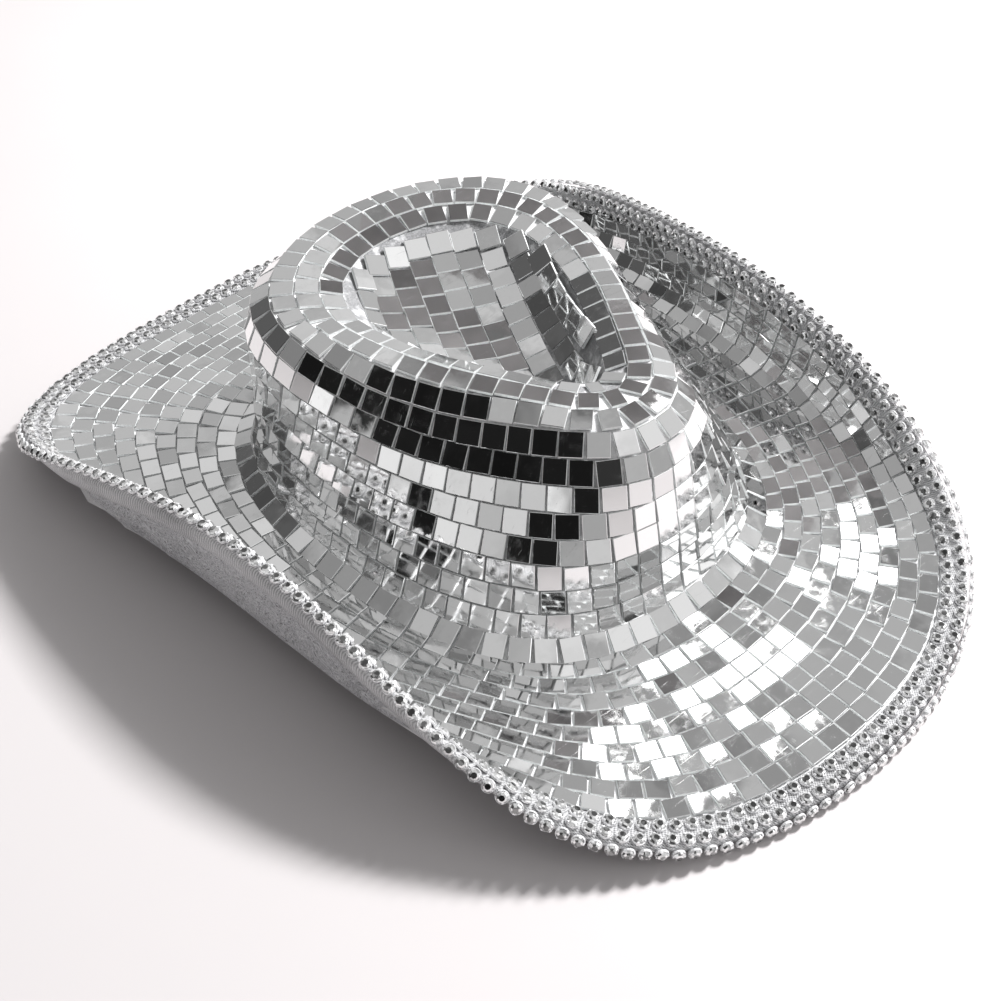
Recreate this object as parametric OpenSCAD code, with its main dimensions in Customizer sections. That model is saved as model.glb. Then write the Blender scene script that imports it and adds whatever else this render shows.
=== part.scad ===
// Party hat in the western style, covered with mirror tiles and edged with rhinestones.
// The hat stands on its brim: +Z is up, the front faces -Y, and the wearer's left is +X.
// Angles round the hat start at the front: 0 front, 90 wearer's left, 180 back, 270 right.

/* [Brim] */
// Length of the hat, front of the brim to the back, over the trim
hat_length = 400; // [385:1:415]
// Width of the hat at its widest place, over the trim
hat_width = 310; // [300:1:322]
// Rise of the rolled sides above the flat front and back edges
side_rise = 49; // [38:1:56]
// Thickness of the stiff brim board
brim_t = 2.4; // [1.8:0.1:3.0]
// Thickness of the glitter cloth under the brim
cloth_t = 0.8; // [0.5:0.1:1.2]

/* [Crown] */
// Rise of the crown's rim above the foot of its wall
crown_rise = 81; // [74:1:90]
// Depth of the dent below the crown's rim
dent_depth = 24; // [16:1:28]
// Thickness of the crown shell
crown_t = 2.4; // [1.8:0.1:3.0]
// Thickness of the lining
lining_t = 0.7; // [0.5:0.1:1.0]
// Width of the sweatband
sweatband_w = 30; // [24:1:36]
// Thickness of the sweatband
sweatband_t = 1.2; // [0.8:0.1:1.6]

/* [Mirror tiles] */
// Distance from one tile to the next along a row
tile_pitch = 9.8; // [9:0.1:11]
// Gap between tiles
tile_gap = 0.5; // [0.4:0.1:1.0]
// Thickness of a tile
tile_t = 1.2; // [0.8:0.1:1.5]
// Thickness of the glue under a tile
glue_t = 0.25; // [0.1:0.05:0.4]
// Rows of tiles on the brim
brim_rows = 9; // [8:1:10]
// Rows of tiles from the foot of the crown to the dent
crown_rows = 12; // [11:1:13]

/* [Rhinestone trim] */
// Distance from one stone to the next
stone_pitch = 5.9; // [5.4:0.1:6.5]
// Outer diameter of a stone's metal cup
cup_d = 5.1; // [4.6:0.1:5.3]
// Height of a cup
cup_h = 1.0; // [0.7:0.1:1.2]
// Height of the stone above its cup
stone_h = 1.2; // [0.8:0.1:1.4]
// Diameter of the wire in the brim's edge
wire_d = 1.6; // [1.2:0.1:1.8]
// Width of the binding tape on top of the brim
tape_w = 9; // [8:0.5:10]
// Thickness of the binding tape
tape_t = 0.9; // [0.6:0.1:1.1]

/* [Hidden] */

steps = 52;
angles = [for (i = [0 : steps - 1]) i * 360 / steps];

// Where the sides roll up: the angle of the highest place, and how far the roll spreads
roll_angle = 86;
roll_front = 38;
roll_back = 45;
flat_share = 0.03;
roll_curl = 3.0;
roll_lift = 3.5;
// How much further the full bend of the roll reaches behind the highest place
bend_back = 1.6;

// Shape of the brim's outline: narrower in front, squarer at the back
brim_taper = 0.116;
brim_square = 0.155;
brim_corner = 0.025;
end_square = 0.024;

// Layers at the brim's edge
tape_gap = 0.15;
wire_seat = wire_d / 2 + 0.1;
tape_reach = wire_seat + wire_d / 2 + tape_gap;
under_w = 7;
cloth_gap = 0.05;

// Layers inside the crown
lining_gap = 0.3;
band_gap = 0.5;
band_start = 8;
trim_out = tape_reach + tape_t + cup_h + stone_h;
edge_half_l = hat_length / 2 - trim_out;
edge_half_w = hat_width / 2 - trim_out;

// Heights of the crown's sections above the front edge of the brim
foot_z = 6;
rim_z = foot_z + crown_rise;
edge_z = rim_z - 3.5;
floor_z = rim_z - dent_depth;

// Sections of the crown from the brim to the middle of the dent. Each is a ring:
// x = sin(t) * (a - b*cos(t) + c*cos(t)^2 + d*cos(t)^3), half length and middle along Y,
// height, rise from front to back, and squareness of the ends.
//            a   b   c   d   half_l  mid_y  z                     tilt  square
sections = [[ 97,  8, 8,  0, 114.0,   4.5, foot_z,                 0, 0.05],   // seam with the brim
            [ 90,  8, 8,  0, 107.5,   4.5, foot_z + 3,             0, 0.05],   // flare
            [ 86,  8, 8,  0, 103.5,   5.0, foot_z + 10,            0, 0.05],   // foot of the wall
            [ 76, 24, 7, 12, 100.0,   7.0, foot_z + crown_rise/2,  0, 0.05],   // middle of the wall
            [ 67, 46, 6, 28,  96.5,   9.5, rim_z - 16,             0, 0.045],   // shoulder
            [ 62, 47, 5, 29,  93.0,  11.5, rim_z - 4,              0, 0.035],   // turn of the shoulder
            [ 54, 40, 4, 22,  83.0,  12.5, rim_z,                  0, 0.02],   // top of the rim
            [ 39, 23, 0,  3,  62.0,  13.0, edge_z,                 0, 0],      // edge of the dent
            [ 30, 17, 0,  2,  49.0,  13.5, edge_z - 0.5*dent_depth, 4, 0],     // wall of the dent
            [ 20, 11, 0,  1,  33.0,  13.5, floor_z + 4,            4, 0],      // foot of that wall
            [ 10,  5, 0,  0,  17.0,  13.0, floor_z + 1,            2, 0],      // floor of the dent
            [  0,  0, 0,  0,   0.0,  13.0, floor_z,                0, 0]];     // middle of the dent
DENT_EDGE = 7;
DENT_MIDDLE = 11;

// The dent's tiles lie in straight strips, turned from the hat's length
strip_angle = 23;
strip_count = 9;
strip_reach = 75;

// ---- Small tools ----

function unit(v) = v / norm(v);
function mix(a, b, x) = a + (b - a) * x;

// Running length along a list of points
function run_lengths(p) =
    [for (i = 0, s = 0; i < len(p); i = i + 1, s = i < len(p) ? s + norm(p[i] - p[i - 1]) : s) s];
function segment_at(runs, d, i = 0) =
    i >= len(runs) - 2 || runs[i + 1] >= d ? i : segment_at(runs, d, i + 1);
function place_at(p, runs, d) =
    let (i = segment_at(runs, d)) mix(p[i], p[i + 1], (d - runs[i]) / (runs[i + 1] - runs[i]));

// n + 1 evenly spaced points on a line of points, leaving out the last `trim` of its length
function even_points(p, n, trim = 0) =
    let (runs = run_lengths(p), whole = runs[len(p) - 1] - trim)
    [for (k = [0 : n]) place_at(p, runs, whole * k / n)];

// Smooth curve through a list, between entries b and c
function curve(a, b, c, d, x) =
    b + 0.5 * x * ((c - a) + x * ((2*a - 5*b + 4*c - d) + x * (3*(b - c) + d - a)));

// ---- Shape of the crown ----

function section(v) =
    let (last = len(sections) - 1, i = min(floor(v), last - 1))
    curve(sections[max(i - 1, 0)], sections[i], sections[i + 1], sections[min(i + 2, last)], v - i);
function half_width(s, c) = s[0] - s[1]*c + s[2]*c*c + s[3]*c*c*c;
function crown_point(t, v) =
    let (s = section(v), c = cos(t))
    [sin(t) * half_width(s, c), s[5] - s[4] * (c - s[8]*cos(3*t)) / (1 - s[8]), s[6] - s[7]*c];

// ---- Shape of the brim ----

function from_front(t) = abs(t - 360 * round(t / 360));
function roll(t) =
    let (f = from_front(t), spread = f < roll_angle ? roll_front : roll_back,
         share = exp(-pow((f - roll_angle) / spread, 2)))
    max(0, (share - flat_share) / (1 - flat_share));
function bend(t) = min(1, roll(t) * (from_front(t) < roll_angle ? 1 : bend_back));
function outline(t) =
    sin(t) - brim_taper*sin(2*t) + brim_square*sin(3*t) - brim_corner*sin(4*t);
outline_max = max([for (t = [0 : 1 : 180]) outline(t)]);
function edge_point(t) =
    [edge_half_w * outline(t) / outline_max,
     -edge_half_l * (cos(t) - end_square*cos(3*t)) / (1 - end_square),
     side_rise * roll(t)];
function brim_point(t, u) =
    let (k = bend(t), a = crown_point(t, 0), b = edge_point(t),
         out = mix(u, 1 - pow(1 - u, roll_curl), k),
         up = mix(u, pow(u, roll_lift), k))
    [mix(a[0], b[0], out), mix(a[1], b[1], out), mix(a[2], b[2], up)];

// ---- Rings of points that the pieces share, first ring lowest or innermost ----

function turned(columns) =
    [for (j = [0 : len(columns[0]) - 1]) [for (c = columns) c[j]]];
BRIM_FINE = 20;
CROWN_FINE = 42;
brim_rings = turned([for (t = angles)
    let (fine = [for (i = [0 : BRIM_FINE]) brim_point(t, i / BRIM_FINE)])
    concat(even_points(fine, brim_rows, tape_w + tile_gap), [fine[BRIM_FINE]])]);
crown_rings = turned([for (t = angles)
    even_points([for (i = [0 : CROWN_FINE]) crown_point(t, DENT_EDGE * i / CROWN_FINE)], crown_rows)]);
dent_rings = [for (v = [DENT_EDGE + 1 : DENT_MIDDLE - 1]) [for (t = angles) crown_point(t, v)]];
dent_middle = crown_point(0, DENT_MIDDLE);

// Rings moved along their own normals; `side` is 1 on the crown and -1 on the brim
function ring_normal(rings, j, i, side) =
    let (n = len(rings[0]), last = len(rings) - 1,
         along = rings[j][(i + 1) % n] - rings[j][(i + n - 1) % n],
         across = rings[min(j + 1, last)][i] - rings[max(j - 1, 0)][i])
    side * unit(cross(along, across));
function moved(rings, by, side) =
    [for (j = [0 : len(rings) - 1])
        [for (i = [0 : len(rings[j]) - 1]) rings[j][i] + by * ring_normal(rings, j, i, side)]];
function only(rings, picks) = [for (j = picks) rings[j]];

// ---- Solids ----

// Two triangles between four points, by their numbers
function quad(a, b, c, d) = [[a, b, c], [a, c, d]];

// A closed loop of points carried round the hat. From loop point `back` on, the quads are
// split the other way, so that the two sides of a thin sheet bend alike
module loop_solid(loops, back) {
    n = len(loops);
    m = len(loops[0]);
    polyhedron(
        points = [for (l = loops) for (p = l) p],
        faces = [for (i = [0 : n - 1]) for (k = [0 : m - 1])
            let (i2 = (i + 1) % n, k2 = (k + 1) % m)
            each k < back ? quad(i*m + k, i*m + k2, i2*m + k2, i2*m + k)
                          : quad(i*m + k2, i2*m + k2, i2*m + k, i*m + k)]);
}

// A sheet between two sets of rings, as loops
function sheet_loops(top, bottom) =
    [for (i = [0 : len(top[0]) - 1])
        concat([for (r = top) r[i]], [for (j = [len(bottom) - 1 : -1 : 0]) bottom[j][i]])];

// Triangles of a net of rings that closes at a middle point, numbered from `first`;
// the net faces outward, or inward when it is turned over
function net(rows, first, middle, over) =
    [for (tri = concat(
        [for (j = [0 : rows - 2]) for (i = [0 : steps - 1]) let (i2 = (i + 1) % steps, j2 = j + 1)
            each quad(j*steps + i, j2*steps + i, j2*steps + i2, j*steps + i2)],
        [for (i = [0 : steps - 1]) [(rows - 1)*steps + i, middle - first, (rows - 1)*steps + (i + 1) % steps]]))
        over ? [tri[2] + first, tri[1] + first, tri[0] + first] : tri + [first, first, first]];

// A sheet between two nets that close at middle points
module dome_solid(outer, outer_mid, inner, inner_mid) {
    half = len(outer) * steps;
    top = half + len(inner) * steps;
    polyhedron(
        points = concat([for (r = outer) each r], [for (r = inner) each r], [outer_mid, inner_mid]),
        faces = concat(
            net(len(outer), 0, top, false),
            net(len(inner), half, top + 1, true),
            [for (i = [0 : steps - 1]) let (i2 = (i + 1) % steps) each quad(i, i2, half + i2, half + i)]));
}

// Everything stands on the binding's lowest place
module raised() {
    translate([0, 0, -lowest]) children();
}

// ---- Binding and trim, drawn in the plane that cuts the brim's edge square ----

last_ring = len(brim_rings) - 1;
edge_ring = brim_rings[last_ring];
edge_normals = [for (i = [0 : steps - 1]) ring_normal(brim_rings, last_ring, i, -1)];
edge_outs = [for (i = [0 : steps - 1])
    let (n = edge_normals[i], along = edge_ring[(i + 1) % steps] - edge_ring[(i + steps - 1) % steps])
    unit(cross(along, n))];
// Ring at a distance out from the edge and up from the board's top
function trim_ring(out, up) =
    [for (i = [0 : steps - 1]) edge_ring[i] + out*edge_outs[i] + up*edge_normals[i]];

stack_down = brim_t + cloth_t + tape_gap;
binding_rings = [trim_ring(-tape_w, tape_gap), trim_ring(tape_reach, tape_gap),
                 trim_ring(tape_reach, -stack_down), trim_ring(-under_w, -stack_down),
                 trim_ring(-under_w, -stack_down - tape_t),
                 trim_ring(tape_reach + tape_t, -stack_down - tape_t),
                 trim_ring(tape_reach + tape_t, tape_gap + tape_t),
                 trim_ring(-tape_w, tape_gap + tape_t)];
lowest = min([for (r = binding_rings) for (p = r) p[2]]);

module edge_binding() {
    color("lightgray") raised() loop_solid(turned(binding_rings), len(binding_rings) / 2);
}

module edge_wire() {
    sides = 6;
    rings = [for (k = [0 : sides - 1])
        trim_ring(wire_seat + wire_d/2 * cos(60*k), -brim_t/2 - wire_d/2 * sin(60*k))];
    color("dimgray") raised() loop_solid(turned(rings), sides);
}

// Stones and cups stand on a ring, their axes along `ups`
module along_trim(ring, ups) {
    closed = concat(ring, [ring[0]]);
    runs = run_lengths(closed);
    whole = runs[len(closed) - 1];
    count = round(whole / stone_pitch);
    for (k = [0 : count - 1]) {
        d = (k + 0.5) * whole / count;
        i = segment_at(runs, d);
        x = (d - runs[i]) / (runs[i + 1] - runs[i]);
        z = unit(mix(ups[i], ups[(i + 1) % len(ups)], x));
        along = unit(closed[i + 1] - closed[i]);
        y = unit(cross(z, along));
        place(mix(closed[i], closed[i + 1], x), cross(y, z), y, z) children();
    }
}

module place(p, x, y, z) {
    multmatrix([[x[0], y[0], z[0], p[0]], [x[1], y[1], z[1], p[1]], [x[2], y[2], z[2], p[2]], [0, 0, 0, 1]])
        children();
}

tape_top = tape_gap + tape_t;
inner_line = trim_ring(-tape_w + cup_d/2 + 0.2, tape_top);
outer_line = trim_ring(tape_reach + tape_t - cup_d/2 - 0.6, tape_top);
side_line = trim_ring(tape_reach + tape_t, (tape_top - stack_down - tape_t) / 2);

// ---- Felt, cloth and lining ----

// The rings that the brim's underside follows: every second one, and all of them round the bend
under_picks = [for (j = [0 : last_ring]) if (j % 2 == 0 || j == 5 || j == 7 || j == last_ring) j];

module brim_board() {
    color("gainsboro") raised()
        loop_solid(sheet_loops(brim_rings, only(moved(brim_rings, -brim_t, -1), under_picks)),
                   len(brim_rings));
}

module brim_cloth() {
    color("darkgray") raised()
        loop_solid(sheet_loops(only(moved(brim_rings, -brim_t - cloth_gap, -1), under_picks),
                               only(moved(brim_rings, -brim_t - cloth_t, -1), under_picks)),
                   len(under_picks));
}

// The inside of the crown follows fewer rings than the outside
crown_net = concat(crown_rings, dent_rings);
rim_ring = crown_rows - 2;
inside_picks = [0, 2, 5, rim_ring - 2, rim_ring - 1, rim_ring, rim_ring + 1, crown_rows + 1, crown_rows + 3];
function crown_inside(depth, picks) = only(moved(crown_net, -depth, 1), picks);

module crown_shell() {
    color("gainsboro") raised()
        dome_solid(crown_net, dent_middle,
                   crown_inside(crown_t, inside_picks), dent_middle - [0, 0, crown_t]);
}

lining_depth = crown_t + lining_gap;
module crown_lining() {
    picks = [for (j = inside_picks) if (j > 0) j];
    color("slategray") raised()
        dome_solid(crown_inside(lining_depth, picks), dent_middle - [0, 0, lining_depth],
                   crown_inside(lining_depth + lining_t, picks),
                   dent_middle - [0, 0, lining_depth + lining_t]);
}

module sweatband() {
    depth = lining_depth + lining_t + band_gap;
    band = turned([for (i = [0 : steps - 1])
        let (line = [for (j = [1 : crown_rows]) crown_rings[j][i]], runs = run_lengths(line))
        [for (k = [0 : 2]) place_at(line, runs, band_start + sweatband_w * k / 2)]]);
    color("dimgray") raised()
        loop_solid(sheet_loops(moved(band, -depth, 1), moved(band, -depth - sweatband_t, 1)), len(band));
}

// ---- Mirror tiles ----

// A tile's frame: centre of its seat, direction along its row, direction across, normal, width
function tile_frame(centre, along, across) =
    let (x = unit(along), n = unit(cross(along, across)), y = cross(n, x))
    [centre, x, y, n, abs(across * y) - tile_gap];

// Half the length a tile may have before it meets the plane halfway to its neighbour
function half_room(f, g) =
    let (m = unit(f[1] + g[1]), way = (g[0] - f[0]) * m, rise = sign(way) * (f[3] * m))
    (abs(way) / 2 - tile_gap / 2 - f[4] / 2 * abs(f[2] * m)
        - max(glue_t * rise, (glue_t + tile_t) * rise)) / abs(f[1] * m);

module tiles(frames, closed) {
    n = len(frames);
    for (k = [0 : n - 1]) {
        f = frames[k];
        before = frames[closed ? (k + n - 1) % n : max(k - 1, 0)];
        after = frames[closed ? (k + 1) % n : min(k + 1, n - 1)];
        room = min([for (g = [before, after]) if (g != f) half_room(f, g)]);
        place(f[0] + f[3] * (glue_t + tile_t/2), f[1], f[2], f[3])
            cube([2 * min(room, tile_pitch/2), f[4], tile_t], center = true);
    }
}

// One row between two rings; the second ring is on the left of the walk round
module tile_row(right, left) {
    n = len(right);
    mid = [for (i = [0 : n]) (right[i % n] + left[i % n]) / 2];
    runs = run_lengths(mid);
    count = round(runs[n] / tile_pitch);
    tiles([for (k = [0 : count - 1])
        let (d = (k + 0.5) * runs[n] / count,
             i = segment_at(runs, d),
             x = (d - runs[i]) / (runs[i + 1] - runs[i]),
             a = mix(right[i], right[(i + 1) % n], x),
             b = mix(left[i], left[(i + 1) % n], x))
        tile_frame((a + b) / 2, mid[i + 1] - mid[i], b - a)], closed = true);
}

module brim_tiles(row) {
    color([0.72, 0.72, 0.74]) raised() tile_row(brim_rings[row], brim_rings[row - 1]);
}

module crown_tiles(row) {
    color([0.62, 0.62, 0.65]) raised() tile_row(crown_rings[row - 1], crown_rings[row]);
}

// Height of the dent over a place in plan, found by halving between its edge and middle
function in_ring(x, y, v) =
    let (s = section(v), c = s[4] < 0.5 ? 2 : (s[5] - y) / s[4])
    abs(c) < 1 && abs(x) < sqrt(1 - c*c) * half_width(s, c);
function dent_ring_at(x, y, low = DENT_EDGE, high = DENT_MIDDLE, turns = 12) =
    turns == 0 ? (low + high) / 2
    : let (v = (low + high) / 2)
      in_ring(x, y, v) ? dent_ring_at(x, y, v, high, turns - 1) : dent_ring_at(x, y, low, v, turns - 1);
function dent_z(p) =
    let (v = dent_ring_at(p[0], p[1]), s = section(v), c = s[4] < 0.5 ? 0 : (s[5] - p[1]) / s[4])
    s[6] - s[7] * max(-1, min(1, c));
function dent_place(p) = [p[0], p[1], dent_z(p)];

strip_along = [sin(strip_angle), cos(strip_angle)];
strip_across = [cos(strip_angle), -sin(strip_angle)];
dent_centre = [0, sections[DENT_EDGE][5]];

// Places along a line in plan, inside the dent
function dent_line(start, step) =
    [for (k = [-strip_reach : 1.5 : strip_reach])
        let (p = start + k * step) if (in_ring(p[0], p[1], DENT_EDGE + 0.12)) dent_place(p)];
cross_line = dent_line(dent_centre, strip_across);
cross_runs = run_lengths(cross_line);
cross_whole = cross_runs[len(cross_runs) - 1];

module dent_tiles(strip) {
    // Strips are counted from the wearer's left side of the dent
    d = cross_whole - (strip - 0.5) * cross_whole / strip_count;
    middle = place_at(cross_line, cross_runs, d);
    line = dent_line([middle[0], middle[1]], strip_along);
    runs = run_lengths(line);
    whole = runs[len(runs) - 1];
    count = max(1, floor(whole / tile_pitch));
    pitch = whole / count;
    color([0.5, 0.5, 0.53]) raised()
        tiles([for (k = [0 : count - 1])
            let (c = place_at(line, runs, (k + 0.5) * pitch),
                 p = [c[0], c[1]],
                 along = place_at(line, runs, (k + 0.9) * pitch) - place_at(line, runs, (k + 0.1) * pitch),
                 across = dent_place(p - strip_across/2) - dent_place(p + strip_across/2))
            tile_frame(c, along, unit(across) * cross_whole / strip_count)], closed = false);
}

// ---- Rows of the rhinestone trim ----

module stones(line, ups) {
    color("white") raised() along_trim(line, ups)
        translate([0, 0, cup_h]) cylinder(d1 = cup_d - 0.6, d2 = cup_d - 2.4, h = stone_h, $fn = 32);
}

module cups(line, ups) {
    color("silver") raised() along_trim(line, ups)
        cylinder(d = cup_d, h = cup_h, $fn = 32);
}

module stones_inner() { stones(inner_line, edge_normals); }
module stones_outer() { stones(outer_line, edge_normals); }
module stones_edge() { stones(side_line, edge_outs); }
module cups_inner() { cups(inner_line, edge_normals); }
module cups_outer() { cups(outer_line, edge_normals); }
module cups_edge() { cups(side_line, edge_outs); }

brim_board();
crown_shell();
brim_cloth();
crown_lining();
sweatband();
edge_wire();
edge_binding();
stones_inner();
stones_outer();
stones_edge();
cups_inner();
cups_outer();
cups_edge();
for (i = [1 : brim_rows])
    brim_tiles(i);
for (i = [1 : crown_rows])
    crown_tiles(i);
for (i = [1 : strip_count])
    dent_tiles(i);
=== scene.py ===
# Mirror tile party hat: looks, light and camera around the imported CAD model.
import math

import bmesh
import bpy
import numpy as np
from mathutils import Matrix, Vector


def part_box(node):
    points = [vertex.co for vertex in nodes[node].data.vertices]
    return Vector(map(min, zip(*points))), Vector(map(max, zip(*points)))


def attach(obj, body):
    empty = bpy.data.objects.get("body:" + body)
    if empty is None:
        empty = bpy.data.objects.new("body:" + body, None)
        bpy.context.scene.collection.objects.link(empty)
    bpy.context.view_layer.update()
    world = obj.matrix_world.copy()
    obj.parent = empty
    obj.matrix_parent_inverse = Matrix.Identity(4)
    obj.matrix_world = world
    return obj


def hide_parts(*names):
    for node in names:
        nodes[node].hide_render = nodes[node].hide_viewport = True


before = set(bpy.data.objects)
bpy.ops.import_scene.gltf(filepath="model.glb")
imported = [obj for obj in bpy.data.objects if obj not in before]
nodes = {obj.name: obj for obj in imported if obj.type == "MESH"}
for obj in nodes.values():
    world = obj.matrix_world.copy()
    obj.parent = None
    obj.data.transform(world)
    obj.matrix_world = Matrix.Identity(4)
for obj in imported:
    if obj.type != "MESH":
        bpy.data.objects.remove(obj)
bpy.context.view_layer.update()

MM = 0.001
ROOT = "root"
scene = bpy.context.scene
rng = np.random.default_rng(2027)

# ---------------------------------------------------------------- camera

CAMERA_TURN = math.radians(-41.64)
CAMERA_TILT = math.radians(45.49)
CAMERA_PLACE = Vector((-0.3125, -0.3458, 0.4488))
CAMERA_LENS = 53.92

camera_data = bpy.data.cameras.new("camera")
camera_data.sensor_width = 36
camera_data.lens = CAMERA_LENS
camera_data.clip_start = 0.01
camera = bpy.data.objects.new("camera", camera_data)
camera.location = CAMERA_PLACE
camera.rotation_euler = (CAMERA_TILT, 0, CAMERA_TURN)
scene.collection.objects.link(camera)
scene.camera = camera

# ---------------------------------------------------------------- shader tools


# How far warped_place() pushes a point, for noise that runs from 0 to 1
WARP = 20 * MM


class Shader:
    """A node tree with short calls for the nodes that the materials use."""

    def __init__(self, tree):
        self.tree = tree
        tree.nodes.clear()

    def put(self, kind, links=(), **settings):
        node = self.tree.nodes.new(kind)
        for name, value in settings.items():
            if name.startswith("in_"):
                self.socket(node, name[3:]).default_value = value
            else:
                setattr(node, name, value)
        for name, source in dict(links).items():
            self.tree.links.new(source, self.socket(node, name))
        return node

    @staticmethod
    def socket(node, name):
        return node.inputs[int(name)] if name.isdigit() else node.inputs[name.replace("_", " ")]

    def math(self, operation, a, b=0.0):
        node = self.tree.nodes.new("ShaderNodeMath")
        node.operation = operation
        for place, value in enumerate((a, b)):
            if isinstance(value, (int, float)):
                node.inputs[place].default_value = value
            else:
                self.tree.links.new(value, node.inputs[place])
        return node.outputs[0]

    def spread(self, value, low, high, to_low=0.0, to_high=1.0):
        node = self.tree.nodes.new("ShaderNodeMapRange")
        self.tree.links.new(value, node.inputs["Value"])
        node.inputs["From Min"].default_value = low
        node.inputs["From Max"].default_value = high
        node.inputs["To Min"].default_value = to_low
        node.inputs["To Max"].default_value = to_high
        return node.outputs["Result"]

    def colours(self, value, stops):
        node = self.tree.nodes.new("ShaderNodeValToRGB")
        self.tree.links.new(value, node.inputs["Fac"])
        ramp = node.color_ramp
        while len(ramp.elements) < len(stops):
            ramp.elements.new(0.5)
        for element, (place, grey) in zip(ramp.elements, stops):
            element.position = place
            element.color = (*grey, 1)
        return node.outputs["Color"]

    def place(self):
        return self.put("ShaderNodeTexCoord").outputs["Object"]

    def warped_place(self):
        """Place, pushed about by a few millimetres, so that fine grain shows no straight rows."""
        push = self.put("ShaderNodeTexNoise", {"Vector": self.place()}, in_Scale=60.0, in_Detail=2.0)
        node = self.put("ShaderNodeVectorMath", {"0": push.outputs["Color"], "2": self.place()},
                        operation="MULTIPLY_ADD")
        node.inputs[1].default_value = (WARP,) * 3
        return node.outputs[0]

    def noise(self, scale, detail=3.0, rough=0.55, place=None):
        node = self.put("ShaderNodeTexNoise", {"Vector": place or self.place()},
                        in_Scale=scale, in_Detail=detail, in_Roughness=rough)
        return node.outputs["Fac"]

    def cells(self, scale):
        return self.put("ShaderNodeTexVoronoi", {"Vector": self.place()}, in_Scale=scale).outputs["Color"]

    def bump(self, height, strength, distance, normal=None):
        node = self.put("ShaderNodeBump", {"Height": height}, in_Strength=strength, in_Distance=distance)
        if normal is not None:
            self.tree.links.new(normal, node.inputs["Normal"])
        return node.outputs["Normal"]


def material(name, viewport):
    """The Shader of a new material, and a function that ends it in a Principled BSDF."""
    mat = bpy.data.materials.new(name)
    mat.use_nodes = True
    mat.diffuse_color = (*viewport, 1)
    shader = Shader(mat.node_tree)

    def end(links, **settings):
        bsdf = shader.put("ShaderNodeBsdfPrincipled", links, **settings)
        shader.put("ShaderNodeOutputMaterial", {"Surface": bsdf.outputs[0]})
        return mat

    return shader, end


# ---------------------------------------------------------------- materials


def mirror_material(name, darkest, lightest):
    """Silvered glass: each tile has its own tone, with faint waves, dust and fine scratches."""
    s, end = material(name, (0.8, 0.8, 0.82))
    random = s.put("ShaderNodeNewGeometry").outputs["Random Per Island"]
    usual = lightest * 0.92
    tone = s.colours(random, [(0.0, (darkest,) * 3), (0.35, (usual,) * 3), (1.0, (lightest,) * 3)])
    dust = s.spread(s.noise(260, 5), 0.45, 0.8, 0.035, 0.13)
    wave = s.bump(s.noise(90, 1), 0.10, 0.0004)
    stretched = s.put("ShaderNodeMapping", {"Vector": s.place()}, vector_type="POINT")
    stretched.inputs["Scale"].default_value = (40, 1400, 300)
    lines = s.put("ShaderNodeTexNoise", {"Vector": stretched.outputs[0]}, in_Scale=1.0, in_Detail=2.0)
    scratch = s.spread(lines.outputs["Fac"], 0.66, 0.72, 0.0, 0.10)
    rough = s.math("ADD", dust, scratch)
    return end({"Base_Color": tone, "Roughness": rough, "Normal": wave}, in_Metallic=1.0)


def tile_edge_material():
    """The ground side of a cut tile: pale glass with specks."""
    s, end = material("tile_edge", (0.7, 0.72, 0.72))
    tone = s.colours(s.noise(900, 4), [(0.3, (0.74, 0.76, 0.76)), (0.7, (0.93, 0.94, 0.94))])
    rough = s.spread(s.noise(1500, 2), 0.3, 0.7, 0.18, 0.5)
    return end({"Base_Color": tone, "Roughness": rough, "Normal": s.bump(s.noise(1800, 3), 0.4, 0.0001)})


def rhinestone_material(name, dark, middle, light):
    """Foil-backed cut stone, with painted glints and shade in random cells that stand for its facets."""
    s, end = material(name, (0.7, 0.72, 0.75))
    painted_facet_light = s.cells(520)
    # Painted glints and shade: each cell's tone stands for light falling on a facet.
    tone = s.colours(painted_facet_light, [(0.0, (dark,) * 3), (0.5, (middle,) * 3), (1.0, (light,) * 3)])
    rough = s.spread(s.noise(1200, 3), 0.4, 0.8, 0.02, 0.09)
    return end({"Base_Color": tone, "Roughness": rough},
               in_Metallic=0.85, in_Coat_Weight=1.0, in_Coat_Roughness=0.02)


def cup_material():
    """Bright stamped metal with rubbed places."""
    s, end = material("silver_cup", (0.75, 0.75, 0.77))
    tone = s.colours(s.noise(420, 4), [(0.3, (0.80, 0.80, 0.81)), (0.65, (0.96, 0.96, 0.97))])
    rough = s.spread(s.noise(900, 4), 0.35, 0.75, 0.12, 0.38)
    return end({"Base_Color": tone, "Roughness": rough, "Normal": s.bump(s.noise(1500, 2), 0.25, 0.0001)},
               in_Metallic=0.5)


def weave_height(s, across, along):
    """Over-and-under height of two sets of threads, `across` and `along` per metre, on any face."""
    place = s.put("ShaderNodeSeparateXYZ", {"Vector": s.place()})
    way_across = s.math("ADD", place.outputs[0], place.outputs[2])
    way_along = s.math("SUBTRACT", place.outputs[1], place.outputs[2])
    first = s.math("SINE", s.math("MULTIPLY", way_across, across * math.tau))
    second = s.math("SINE", s.math("MULTIPLY", way_along, along * math.tau))
    return s.spread(s.math("MULTIPLY", first, second), -1, 1)


def tape_material():
    """Silver binding tape: metal yarn woven close, with painted shade between the threads."""
    s, end = material("silver_tape", (0.7, 0.7, 0.7))
    weave = weave_height(s, 900, 900)
    stain = s.noise(40, 4)
    # Painted shade: the tone is darker where the weave sinks; the stain noise clouds it.
    shade = s.math("ADD", s.math("MULTIPLY", weave, 0.6), s.math("MULTIPLY", stain, 0.4))
    tone = s.colours(shade, [(0.2, (0.22, 0.22, 0.23)), (0.55, (0.76, 0.76, 0.77)),
                             (0.9, (0.95, 0.95, 0.96))])
    rough = s.spread(stain, 0.3, 0.7, 0.28, 0.5)
    return end({"Base_Color": tone, "Roughness": rough, "Normal": s.bump(weave, 0.6, 0.0003)},
               in_Metallic=0.55)


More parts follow.
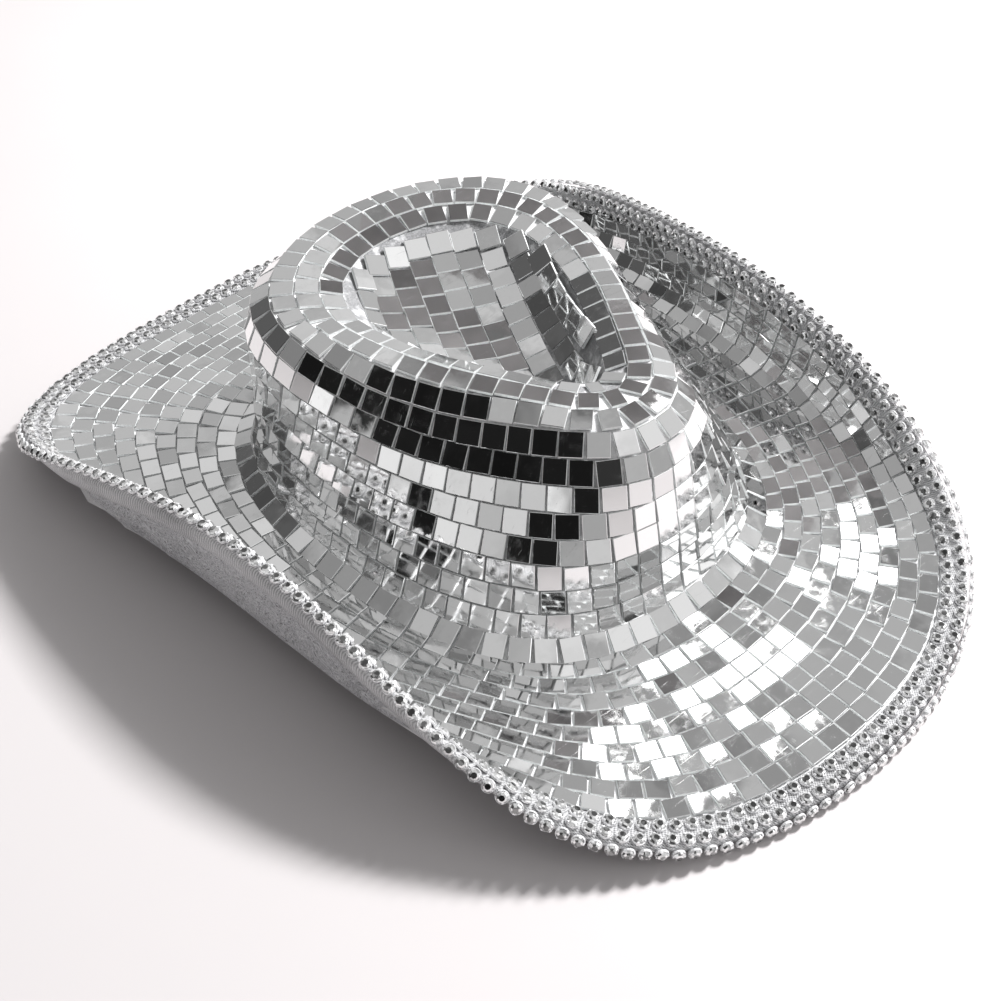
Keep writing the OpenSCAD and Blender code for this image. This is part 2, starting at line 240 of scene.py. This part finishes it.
def glitter_material():
    """Silver cloth with flakes of glitter that face every way."""
    s, end = material("glitter_cloth", (0.62, 0.62, 0.64))
    warped = s.warped_place()
    flake = s.put("ShaderNodeTexVoronoi", {"Vector": warped}, in_Scale=1300)
    grain = s.noise(620, 5, 0.7, warped)
    cloud = s.noise(18, 4)
    shade = s.math("ADD", s.math("MULTIPLY", flake.outputs["Distance"], 0.75), s.math("MULTIPLY", cloud, 0.5))
    tone = s.colours(shade, [(0.15, (0.20, 0.205, 0.215)), (0.45, (0.46, 0.465, 0.48)),
                             (0.8, (0.80, 0.80, 0.82))])
    shine = s.put("ShaderNodeSeparateColor", {"Color": flake.outputs["Color"]})
    metal = s.spread(shine.outputs[0], 0.55, 0.8, 0.15, 1.0)
    rough = s.spread(shine.outputs[1], 0.0, 1.0, 0.22, 0.7)
    height = s.math("ADD", s.math("MULTIPLY", shine.outputs[2], 0.7), s.math("MULTIPLY", grain, 0.6))
    lumps = s.bump(s.noise(330, 3, 0.6, warped), 0.6, 0.0005)
    return end({"Base_Color": tone, "Roughness": rough, "Metallic": metal,
                "Normal": s.bump(height, 0.8, 0.0003, lumps)})


# Painted shade: the felt is darker in an oval round the dent. Stretched across and shifted forward in plan,
# the oval becomes a circle round the origin, and the painted shade fades out between two radii.
DENT_STRETCH = (1.5, 1.0, 0.0)
DENT_SHIFT = (0.0, -13 * MM, 0.0)
DENT_EDGE = (71 * MM, 75 * MM)
DENT_PAINTED_SHADE = 0.4


def felt_material():
    """Stiffened felt under the tiles, with glue marks, and painted shade that darkens it in the dent."""
    s, end = material("stiff_felt", (0.5, 0.5, 0.5))
    fibre = s.noise(1400, 6, 0.7)
    glue = s.spread(s.noise(160, 3), 0.5, 0.62, 0.0, 1.0)
    mixed = s.math("ADD", s.math("MULTIPLY", fibre, 0.7), s.math("MULTIPLY", glue, 0.3))
    from_dent = s.put("ShaderNodeVectorMath", {"0": s.place()}, operation="MULTIPLY_ADD")
    from_dent.inputs[1].default_value = DENT_STRETCH
    from_dent.inputs[2].default_value = DENT_SHIFT
    reach = s.put("ShaderNodeVectorMath", {"0": from_dent.outputs[0]}, operation="LENGTH").outputs["Value"]
    # Painted shade: the felt's tone is multiplied down inside the oval round the dent.
    tone = s.colours(s.math("MULTIPLY", mixed, s.spread(reach, *DENT_EDGE, DENT_PAINTED_SHADE, 1.0)),
                     [(0.1, (0.14, 0.14, 0.145)), (0.3, (0.62, 0.62, 0.63)), (0.6, (0.82, 0.82, 0.82)),
                      (1.0, (0.90, 0.90, 0.90))])
    rough = s.spread(glue, 0.0, 1.0, 0.9, 0.45)
    return end({"Base_Color": tone, "Roughness": rough, "Normal": s.bump(fibre, 0.7, 0.0004)},
               in_Sheen_Weight=0.3)


def satin_material():
    """Dark grey satin lining, with painted shade in its creases and between its threads."""
    s, end = material("satin_lining", (0.3, 0.31, 0.33))
    weave = weave_height(s, 1100, 500)
    creases_and_painted_shade = s.noise(24, 5)
    # Painted shade: the tone is darker where the creases and the weave sink, as in the bumps.
    tone = s.colours(s.math("ADD", s.math("MULTIPLY", weave, 0.35), s.math("MULTIPLY", creases_and_painted_shade, 0.65)),
                     [(0.2, (0.12, 0.125, 0.14)), (0.55, (0.26, 0.27, 0.30)), (0.9, (0.44, 0.45, 0.49))])
    folds = s.bump(creases_and_painted_shade, 0.35, 0.002)
    return end({"Base_Color": tone, "Roughness": s.spread(creases_and_painted_shade, 0.3, 0.7, 0.25, 0.42),
                "Normal": s.bump(weave, 0.4, 0.0002, folds)}, in_Sheen_Weight=0.5)


def ribbon_material():
    """Black grosgrain ribbon, ribbed across its width, with painted shade between the ribs."""
    s, end = material("sweatband_tape", (0.08, 0.08, 0.09))
    place = s.put("ShaderNodeSeparateXYZ", {"Vector": s.place()})
    turn = s.math("ARCTAN2", place.outputs[1], place.outputs[0])
    rib = s.spread(s.math("SINE", s.math("MULTIPLY", turn, 420)), -1, 1)
    fuzz = s.noise(1500, 5)
    # Painted shade: the tone is darker in the grooves between the ribs, as in the bumps.
    tone = s.colours(s.math("ADD", s.math("MULTIPLY", rib, 0.6), s.math("MULTIPLY", fuzz, 0.4)),
                     [(0.2, (0.012, 0.012, 0.014)), (0.6, (0.045, 0.045, 0.05)), (0.95, (0.12, 0.12, 0.13))])
    return end({"Base_Color": tone, "Roughness": s.spread(fuzz, 0.3, 0.7, 0.5, 0.8),
                "Normal": s.bump(rib, 0.8, 0.0005)}, in_Sheen_Weight=0.4)


def wire_material():
    """Dull steel."""
    s, end = material("steel_wire", (0.5, 0.5, 0.5))
    tone = s.colours(s.noise(300, 4), [(0.3, (0.28, 0.28, 0.28)), (0.7, (0.56, 0.55, 0.54))])
    rough = s.spread(s.noise(700, 3), 0.3, 0.7, 0.25, 0.5)
    return end({"Base_Color": tone, "Roughness": rough}, in_Metallic=1.0)


def floor_material():
    """Pale paper, hardly clouded."""
    s, end = material("pale_floor", (0.9, 0.9, 0.9))
    tone = s.colours(s.noise(3, 4), [(0.3, (0.57, 0.543, 0.546)), (0.7, (0.59, 0.563, 0.566))])
    return end({"Base_Color": tone}, in_Roughness=0.75)


TILE_TOP = mirror_material("mirror_tile", 0.62, 0.93)
TILE_SIDE = tile_edge_material()
STONE = rhinestone_material("rhinestone", 0.40, 0.85, 0.98)
# Painted shade and dark reflection: the stones' tables get a dark copy of the stone's finish.
STONE_TABLE_PAINTED_SHADE = rhinestone_material("rhinestone_table_painted_shade", 0.03, 0.10, 0.45)
CUP = cup_material()
TAPE = tape_material()
GLITTER = glitter_material()
FELT = felt_material()
SATIN = satin_material()
RIBBON = ribbon_material()
WIRE = wire_material()

# ---------------------------------------------------------------- reading the CAD solids


def mesh_arrays(obj):
    """Points of a CAD node, welded, and its triangles by welded point."""
    mesh = obj.data
    mesh.calc_loop_triangles()
    points = np.empty(len(mesh.vertices) * 3)
    mesh.vertices.foreach_get("co", points)
    points = points.reshape(-1, 3)
    triangles = np.empty(len(mesh.loop_triangles) * 3, int)
    mesh.loop_triangles.foreach_get("vertices", triangles)
    micron = np.round(points * 1e6).astype(np.int64)
    _, first, same = np.unique(micron, axis=0, return_index=True, return_inverse=True)
    return points[first], same.reshape(-1)[triangles].reshape(-1, 3)


def islands(obj):
    """The separate solids of a CAD node: for each, its own points and its triangles' points."""
    points, triangles = mesh_arrays(obj)
    label = np.arange(len(points))
    while True:
        lowest = label[triangles].min(axis=1)
        new = label.copy()
        np.minimum.at(new, triangles.ravel(), np.repeat(lowest, 3))
        if (new == label).all():
            break
        label = new
    found = []
    for mark in np.unique(label):
        own = triangles[label[triangles[:, 0]] == mark]
        found.append((points[np.unique(own)], points[own]))
    return found


def unit(v):
    return v / np.linalg.norm(v)


def box_frame(corners, triangles):
    """Centre, two sides' directions, thin direction and the three sizes of a box."""
    normals = np.cross(triangles[:, 1] - triangles[:, 0], triangles[:, 2] - triangles[:, 0])
    normals /= np.linalg.norm(normals, axis=1)[:, None]
    first = normals[0]
    second = normals[np.argmin(np.abs(normals @ first))]
    second = unit(second - first * (second @ first))
    axes = [first, second, np.cross(first, second)]
    sizes = [np.ptp(corners @ a) for a in axes]
    thin = int(np.argmin(sizes))
    x, y = [axes[k] for k in range(3) if k != thin]
    size_x, size_y = [sizes[k] for k in range(3) if k != thin]
    return corners.mean(axis=0), x, y, axes[thin], size_x, size_y, sizes[thin]


crown_low, crown_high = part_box("crown_shell")
CROWN_AXIS = np.array([(crown_low.x + crown_high.x) / 2, (crown_low.y + crown_high.y) / 2, 0])


# How much the tiles of each part face away from the crown's axis, for 1 of facing up
FACES_AWAY = {"brim": -0.7, "crown": 0.7, "dent": 0.0}


def outer_side(node, centre, n):
    """n, or its opposite, so that it points away from the felt."""
    away = centre * [1, 1, 0] - CROWN_AXIS
    towards = FACES_AWAY[node.split("_")[0]] * unit(away) + np.array([0, 0, 1])
    return n if n @ towards > 0 else -n


# ---------------------------------------------------------------- new pieces


class Pile:
    """Points and faces of one new piece."""

    def __init__(self):
        self.points, self.faces, self.kinds = [], [], []

    def add(self, points, faces, kinds):
        start = len(self.points)
        self.points += [tuple(p) for p in points]
        self.faces += [tuple(start + k for k in face) for face in faces]
        self.kinds += kinds

    def piece(self, name, materials):
        mesh = bpy.data.meshes.new(name)
        mesh.from_pydata(self.points, [], self.faces)
        for m in materials:
            mesh.materials.append(m)
        mesh.polygons.foreach_set("material_index", self.kinds)
        mesh.update()
        obj = bpy.data.objects.new(name, mesh)
        scene.collection.objects.link(obj)
        return obj


def keep_with(obj, node):
    """Fix a piece to the hat and let it stand for a CAD node, which it hides."""
    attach(obj, ROOT)
    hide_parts(node)
    return obj


# A cut tile's chamfer, and how far it reaches down the tile's side
CHAMFER = 0.17 * MM
CHAMFER_DROP = CHAMFER * 0.6
# How far a tile set by hand leans (usually, and at most in that measure), turns and shifts,
# and the share of its size to which one may be cut
LEAN = math.radians(1.15)
LEAN_LIMIT = 2.2
TURN = math.radians(0.8)
SHIFT = 0.07 * MM
SMALLEST = 0.985
# Tiles with a broken corner: their share, and how far the break reaches in
CHIP_SHARE = 0.05
CHIP_DEPTH = 0.8 * MM
# Faces of a tile over its three rings of four points: back, sides, chamfers and mirror
TILE_FACES = [(3, 2, 1, 0), (0, 1, 5, 4), (1, 2, 6, 5), (2, 3, 7, 6), (3, 0, 4, 7),
              (4, 5, 9, 8), (5, 6, 10, 9), (6, 7, 11, 10), (7, 4, 8, 11), (8, 9, 10, 11)]
TILE_KINDS = [1] * 5 + [0] * 5
# Degrees that the tiles in rows of the crown's wall lean down the slope, or up it, below zero
ROW_LEAN = {"crown_tiles_5": -6.0, "crown_tiles_6": -2.5, "crown_tiles_7": 0.5,
            "crown_tiles_8": -9.0, "crown_tiles_9": -11.0, "crown_tiles_10": -3.0}


def leaned(n, degrees):
    """n tipped down the slope by an angle."""
    down = unit(n * n[2] - np.array([0, 0, 1]))
    angle = math.radians(degrees)
    return n * math.cos(angle) + down * math.sin(angle)


# Rows in the valley between crown and brim, where the felt turns and the tiles sit unevenly,
# and how many times as askew as the others they are
LOOSE_ROWS = {f"brim_tiles_{row}" for row in (1, 2, 3)} | {f"crown_tiles_{row}" for row in (1, 2, 3, 4)}
LOOSE = 2.3


def add_tile(pile, centre, x, y, n, size_x, size_y, thick, looseness):
    """A chamfered tile, set a little askew."""
    lean = LEAN * looseness
    lean_x, lean_y = np.clip(rng.normal(0, lean, 2), -LEAN_LIMIT * lean, LEAN_LIMIT * lean)
    n = unit(n + lean_x * x + lean_y * y)
    x = unit(x - n * (x @ n) + rng.normal(0, TURN) * y)
    y = np.cross(n, x)
    centre = centre + x * rng.uniform(-SHIFT, SHIFT) + y * rng.uniform(-SHIFT, SHIFT)
    half = np.array([size_x, size_y]) / 2 * rng.uniform(SMALLEST, 1.0, 2)
    flat = np.array([(-1, -1), (1, -1), (1, 1), (-1, 1)]) * half
    if rng.random() < CHIP_SHARE:
        flat[rng.integers(4)] *= 1 - rng.uniform(0.3, 1.0) * CHIP_DEPTH / half
    inset = flat - np.sign(flat) * CHAMFER
    rings = [(flat, -thick / 2), (flat, thick / 2 - CHAMFER_DROP), (inset, thick / 2)]
    points = [centre + x * p[0] + y * p[1] + n * h for ring, h in rings for p in ring]
    pile.add(points, TILE_FACES, TILE_KINDS)


def mirror_row(node):
    """Cut tiles in the places of a node's flat ones."""
    pile = Pile()
    for corners, triangles in islands(nodes[node]):
        centre, x, y, n, size_x, size_y, thick = box_frame(corners, triangles)
        n = outer_side(node, centre, n)
        n = leaned(n, ROW_LEAN.get(node, 0))
        x = unit(x - n * (x @ n))
        y = np.cross(n, x)
        add_tile(pile, centre, x, y, n, size_x, size_y, thick, LOOSE if node in LOOSE_ROWS else 1)
    keep_with(pile.piece("mirrors_" + node, [TILE_TOP, TILE_SIDE]), node)


def round_frame(points):
    """Middle, axis and height of a short round solid."""
    middle = points.mean(axis=0)
    axis = np.linalg.svd(points - middle, full_matrices=False)[2][2]
    return middle, axis, np.ptp(points @ axis)


def stone_frames(node):
    """Seat, axis and height of each stone. The axis points out of the hat, to the narrow end."""
    found = []
    for points, _ in islands(nodes[node]):
        middle, axis, height = round_frame(points)
        along = (points - middle) @ axis
        radii = np.linalg.norm((points - middle) - np.outer(along, axis), axis=1)
        if radii[along > 0].max() > radii[along < 0].max():
            axis, along = -axis, -along
        found.append((middle + axis * along.min(), axis, height))
    return found


def cross_axes(axis):
    """Two directions square to an axis and to each other."""
    side = unit(np.cross(axis, [0, 0, 1]) if abs(axis[2]) < 0.9 else np.cross(axis, [0, 1, 0]))
    return side, np.cross(axis, side)


def ring_points(seat, x, y, z, radius, height, count, turn):
    """Points of a regular polygon at a height over a seat."""
    return [seat + x * radius * math.cos(a) + y * radius * math.sin(a) + z * height
            for a in (turn + math.tau * k / count for k in range(count))]


def lathe(pile, rings, top_kind=0):
    """Rings of the same count, joined by quads, with flat ends."""
    count = len(rings[0])
    last = (len(rings) - 1) * count
    faces = [(low + k, low + (k + 1) % count, low + count + (k + 1) % count, low + count + k)
             for low in range(0, last, count) for k in range(count)]
    faces.append(tuple(reversed(range(count))))
    faces.append(tuple(range(last, last + count)))
    pile.add([p for ring in rings for p in ring], faces, [0] * (len(faces) - 1) + [top_kind])


STONE_SIDES = 8
STONE_R = 2.25 * MM
STONE_LEAN = 0.05
# Girdle, crown and table of a stone: radius and height, as shares of its own
STONE_CUT = [(1.0, 0.0), (1.0, 0.16), (0.80, 0.66), (0.50, 1.0)]


def stone_row(node, frames):
    """Faceted stones, set a little askew."""
    pile = Pile()
    for seat, axis, height in frames:
        axis = unit(axis + rng.normal(0, STONE_LEAN, 3))
        x, y = cross_axes(axis)
        spin = rng.uniform(0, math.tau)
        rings = [ring_points(seat, x, y, axis, STONE_R * r, height * h, STONE_SIDES, spin)
                 for r, h in STONE_CUT]
        # The table face takes the dark copy of the finish, painted shade.
        lathe(pile, rings, top_kind=1)
    keep_with(pile.piece("cut_" + node, [STONE, STONE_TABLE_PAINTED_SHADE]), node)


CUP_SIDES = 14
CUP_R = 2.55 * MM
# Profile of a cup from its base up the wall and over the lip: radius and height, as shares
CUP_PROFILE = [(0.92, 0.0), (1.0, 0.12), (1.0, 0.72), (0.96, 0.95), (0.90, 1.0), (0.84, 0.93)]
# A claw's half width as an angle round the cup, its heights from the cup's lip, and its radii
CLAWS = 4
CLAW_HALF = 0.22
CLAW_TIP_HALF = CLAW_HALF * 0.5
CLAW_FOOT = -0.25 * MM
CLAW_RISE = 0.75 * MM
CLAW_BEND = CLAW_RISE * 0.7
CLAW_INNER_R = CUP_R * 0.86
CLAW_BEND_R = CUP_R * 0.93
CLAW_TIP_R = CUP_R * 0.66


def cup_row(node, stones):
    """Cups with claws, each open to the stone that sits nearest."""
    pile = Pile()
    seats = np.array([seat for seat, _, _ in stones])
    for points, _ in islands(nodes[node]):
        middle, axis, height = round_frame(points)
        near = seats[np.argmin(np.linalg.norm(seats - middle, axis=1))]
        if (near - middle) @ axis < 0:
            axis = -axis
        seat = middle - axis * height / 2
        x, y = cross_axes(axis)
        rings = [ring_points(seat, x, y, axis, CUP_R * r, height * h, CUP_SIDES, 0)
                 for r, h in CUP_PROFILE]
        lathe(pile, rings)
        spin = rng.uniform(0, math.tau)
        for k in range(CLAWS):
            add_claw(pile, seat + axis * height, x, y, axis, spin + math.tau * k / CLAWS)
    keep_with(pile.piece("claw_" + node, [CUP]), node)


def add_claw(pile, top, x, y, z, angle):
    """One prong that bends over the stone."""
    def at(a, r, h):
        return top + (x * math.cos(a) + y * math.sin(a)) * r + z * h

    left, right = angle - CLAW_HALF, angle + CLAW_HALF
    points = [at(left, CUP_R, CLAW_FOOT), at(right, CUP_R, CLAW_FOOT),
              at(right, CLAW_INNER_R, CLAW_FOOT), at(left, CLAW_INNER_R, CLAW_FOOT),
              at(left, CLAW_BEND_R, CLAW_BEND), at(right, CLAW_BEND_R, CLAW_BEND),
              at(angle + CLAW_TIP_HALF, CLAW_TIP_R, CLAW_RISE),
              at(angle - CLAW_TIP_HALF, CLAW_TIP_R, CLAW_RISE)]
    faces = [(3, 2, 1, 0), (0, 1, 5, 4), (4, 5, 6, 7), (1, 2, 6, 5), (3, 0, 4, 7), (2, 3, 7, 6)]
    pile.add(points, faces, [0] * len(faces))


# Triangles of a CAD sheet become quads where they bend less than this and stay this close to square
BEND_LIMIT = math.radians(40)
SKEW_LIMIT = math.radians(60)
SMOOTHINGS = 2


def soft_copy(node, name, finish):
    """A smooth version of a sewn CAD sheet."""
    points, triangles = mesh_arrays(nodes[node])
    mesh = bpy.data.meshes.new(name)
    mesh.from_pydata([tuple(p) for p in points], [], [tuple(int(k) for k in t) for t in triangles])
    form = bmesh.new()
    form.from_mesh(mesh)
    bmesh.ops.join_triangles(form, faces=form.faces, angle_face_threshold=BEND_LIMIT,
                             angle_shape_threshold=SKEW_LIMIT)
    bmesh.ops.recalc_face_normals(form, faces=form.faces)
    form.to_mesh(mesh)
    form.free()
    mesh.materials.append(finish)
    mesh.polygons.foreach_set("use_smooth", [True] * len(mesh.polygons))
    obj = bpy.data.objects.new(name, mesh)
    scene.collection.objects.link(obj)
    smooth = obj.modifiers.new("smooth", "SUBSURF")
    smooth.levels = SMOOTHINGS
    smooth.render_levels = SMOOTHINGS
    return obj


def half_area(obj):
    """Area of one side of a thin sheet, as it shows."""
    shown = obj.evaluated_get(bpy.context.evaluated_depsgraph_get())
    mesh = shown.to_mesh()
    total = sum(p.area for p in mesh.polygons) / 2
    shown.to_mesh_clear()
    return total


# ---------------------------------------------------------------- the hat

for node in [n for n in nodes if "_tiles_" in n]:
    mirror_row(node)

for row in ("inner", "outer", "edge"):
    stones = stone_frames("stones_" + row)
    stone_row("stones_" + row, stones)
    cup_row("cups_" + row, stones)

for node, finish in (("brim_board", FELT), ("crown_shell", FELT), ("edge_wire", WIRE)):
    nodes[node].data.materials.clear()
    nodes[node].data.materials.append(finish)

cloth = keep_with(soft_copy("brim_cloth", "glitter_cloth", GLITTER), "brim_cloth")
lining = keep_with(soft_copy("crown_lining", "satin_lining", SATIN), "crown_lining")
band = keep_with(soft_copy("sweatband", "ribbon_sweatband", RIBBON), "sweatband")
tape = keep_with(soft_copy("edge_binding", "woven_binding", TAPE), "edge_binding")

# ---------------------------------------------------------------- floor, world and lights


FLOOR_HALF = 6.0


def floor():
    """A wide sheet of pale paper under the hat."""
    pile = Pile()
    corners = [(x * FLOOR_HALF, y * FLOOR_HALF, 0) for x, y in ((-1, -1), (1, -1), (1, 1), (-1, 1))]
    pile.add(corners, [(0, 1, 2, 3)], [0])
    pile.piece("floor", [floor_material()])


def aim(turn, rise):
    """Unit direction; turn runs from the front (-Y) towards the wearer's left (+X)."""
    t, r = math.radians(turn), math.radians(rise)
    return Vector((math.sin(t) * math.cos(r), -math.cos(t) * math.cos(r), math.sin(r)))


def area_light(name, place, size, power, in_mirrors):
    """A square light that faces the hat; in_mirrors says whether the mirrors show it."""
    data = bpy.data.lights.new(name, "AREA")
    data.size = size
    data.energy = power
    light = bpy.data.objects.new(name, data)
    light.location = place
    light.rotation_euler = place.to_track_quat("Z", "Y").to_euler()
    light.visible_glossy = in_mirrors
    scene.collection.objects.link(light)


# Places in the studio that show in the mirrors, each over the ones before it:
# turn, rise, half width in degrees, and brightness
STUDIO = [(-165, 45, 25, 0.50), (150, 30, 22, 0.57), (120, 5, 20, 0.50), (88, 22, 16, 0.62),
          (120, 30, 12, 0.60), (52, 24, 22, 1.90), (60, 50, 20, 0.80), (20, 62, 18, 0.75),
          (-30, 66, 14, 0.65), (-125, 48, 22, 0.30), (-98, 56, 8, 0.60), (167, 38, 6, 0.12),
          (-150, 8, 32, 0.10), (-60, 24, 22, 0.012), (-92, 26, 23, 0.012), (-115, 8, 14, 0.012),
          (-35, 26, 12, 0.03), (-7, 37, 6, 0.08), (8, 28, 8, 0.10),
          (112, 53, 9, 0.43), (139, 48, 5, 0.28), (142, 60, 5, 0.20)]
STUDIO_BASE = 0.50
# A pale panel in front of the dark ones, cut off along the line through two directions
PANEL = (-95, 6, 24, 0.78)
PANEL_CUT = ((-84, 25), (-100, 9))
# How soft a panel's edge is, as a share of its half width
PANEL_SHARP = 0.93
# Small patches over the whole room: their scale, and the dimmest and brightest of them
PATCH_SCALE = 9.0
PATCH_RANGE = (0.72, 1.28)
# The room's one tone where the camera sees it past the floor
BACKDROP = 0.92


def studio_world():
    """A pale room with dark and bright panels, and small patches over all of it."""
    world = bpy.data.worlds.new("studio")
    scene.world = world
    world.use_nodes = True
    s = Shader(world.node_tree)
    way = s.put("ShaderNodeTexCoord").outputs["Generated"]

    def along(direction):
        dot = s.put("ShaderNodeVectorMath", {"0": way}, operation="DOT_PRODUCT")
        dot.inputs[1].default_value = direction
        return dot.outputs["Value"]

    def cap(turn, rise, half):
        edge = math.cos(math.radians(half))
        inside = math.cos(math.radians(half * PANEL_SHARP))
        return s.spread(along(aim(turn, rise)), edge, inside)

    def over(light, mask, level):
        keep = s.math("SUBTRACT", 1.0, mask)
        return s.math("ADD", s.math("MULTIPLY", light, keep), s.math("MULTIPLY", mask, level))

    patches = s.put("ShaderNodeTexVoronoi", {"Vector": way}, in_Scale=PATCH_SCALE)
    patch_tone = s.put("ShaderNodeSeparateColor", {"Color": patches.outputs["Color"]}).outputs[0]
    light = STUDIO_BASE
    for turn, rise, half, level in STUDIO:
        light = over(light, cap(turn, rise, half), level)
    turn, rise, half, level = PANEL
    cut = aim(*PANEL_CUT[0]).cross(aim(*PANEL_CUT[1])).normalized()
    side = cut if cut.dot(aim(turn, rise)) > 0 else -cut
    uncut = s.spread(along(side), 0, 0.01)
    light = over(light, s.math("MULTIPLY", cap(turn, rise, half), uncut), level)
    light = s.math("MULTIPLY", light, s.spread(patch_tone, 0, 1, *PATCH_RANGE))
    # Seen directly the room is one pale tone, and only the mirrors and the light see its panels
    seen = s.put("ShaderNodeLightPath").outputs["Is Camera Ray"]
    light = over(light, seen, BACKDROP)
    back = s.put("ShaderNodeBackground", {"Strength": light})
    back.inputs["Color"].default_value = (1.0, 1.0, 1.0, 1)
    s.put("ShaderNodeOutputWorld", {"Surface": back.outputs[0]})


# A dim screen near the hat that only the mirrors see: its direction from the dent (turn and rise),
# distance, width and height
SCREEN = (122, 46, 0.5, 0.24, 0.22)


def dark_screen():
    """A cloudy dark sheet that faces the dent and shows in the mirrors alone."""
    turn, rise, distance, width, height = SCREEN
    dent_low, dent_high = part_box("dent_tiles_7")
    towards = aim(turn, rise)
    centre = np.array((dent_low + dent_high) / 2 + towards * distance)
    side = unit(np.cross(towards, [0, 0, 1]))
    up = np.cross(side, towards)
    corners = [centre + side * a * width / 2 + up * b * height / 2
               for a, b in ((-1, -1), (1, -1), (1, 1), (-1, 1))]
    pile = Pile()
    pile.add(corners, [(0, 1, 2, 3)], [0])
    s, end = material("dark_screen", (0.03, 0.03, 0.03))
    tone = s.colours(s.noise(6, 3), [(0.3, (0.16, 0.16, 0.16)), (0.7, (0.46, 0.46, 0.46))])
    screen = pile.piece("dark_screen", [end({"Base_Color": tone}, in_Roughness=0.9)])
    screen.visible_camera = False
    screen.visible_diffuse = False
    screen.visible_shadow = False


dark_screen()
floor()
studio_world()
area_light("key", place=aim(84, 46) * 1.6, size=0.26, power=54, in_mirrors=False)
area_light("glare", place=aim(108, 56) * 1.16, size=0.145, power=0.50, in_mirrors=True)
scene.view_settings.view_transform = "Standard"
scene.view_settings.look = "None"
scene.view_settings.exposure = 0.0

# ---------------------------------------------------------------- one side's area of each soft piece, worked out and not kept

half_area(cloth)
half_area(lining)
half_area(band)
half_area(tape)
